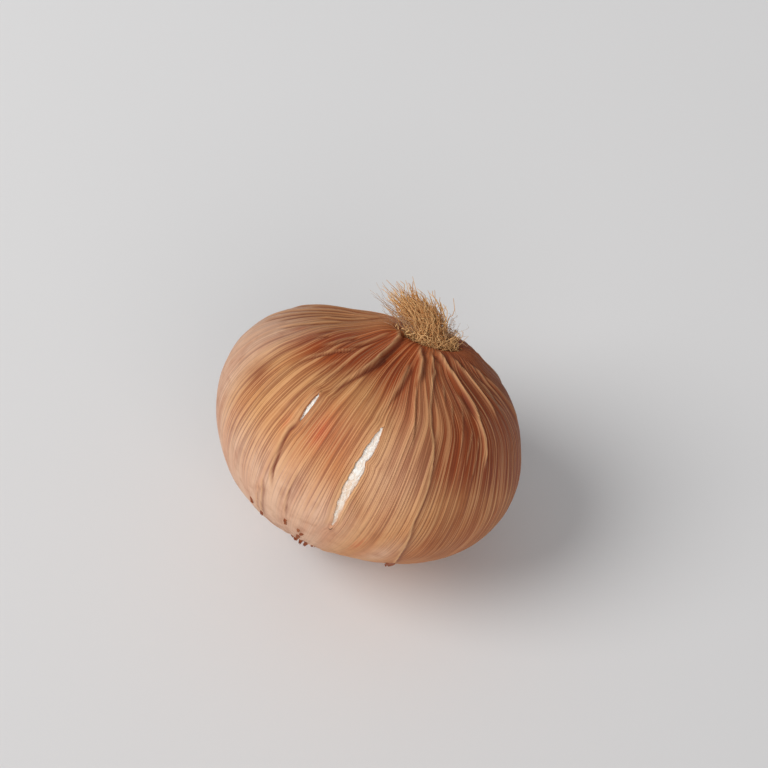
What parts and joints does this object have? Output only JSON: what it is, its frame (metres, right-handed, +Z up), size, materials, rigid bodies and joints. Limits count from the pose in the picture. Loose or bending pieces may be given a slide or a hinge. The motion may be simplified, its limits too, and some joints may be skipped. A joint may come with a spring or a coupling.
{
  "type": "onion",
  "caption": "Whole brown onion lying tilted on its side, with a split papery skin gathered round a tuft of dry roots, and a small flat to rest on.",
  "frame": {"origin": "the middle of the small flat spot that the onion rests on", "axes": "+Z up. The onion's front, with the long white split, faces -Y. Its root end leans up and over towards +X and +Y, 37.6 degrees from +Z, and its neck is underneath, towards -X and -Y"},
  "size_m": [0.0756, 0.0776, 0.0708],
  "materials": {
    "dry_skin": "dry papery skin with a low sheen",
    "flesh": "moist white scale with a satin sheen",
    "dry_roots": "dry straw-coloured fibre, matt"
  },
  "bodies": {
    "root": {"bulb": "flesh", "dry_skin": "dry_skin", "root_tuft": "dry_roots"}
  },
  "joints": []
}
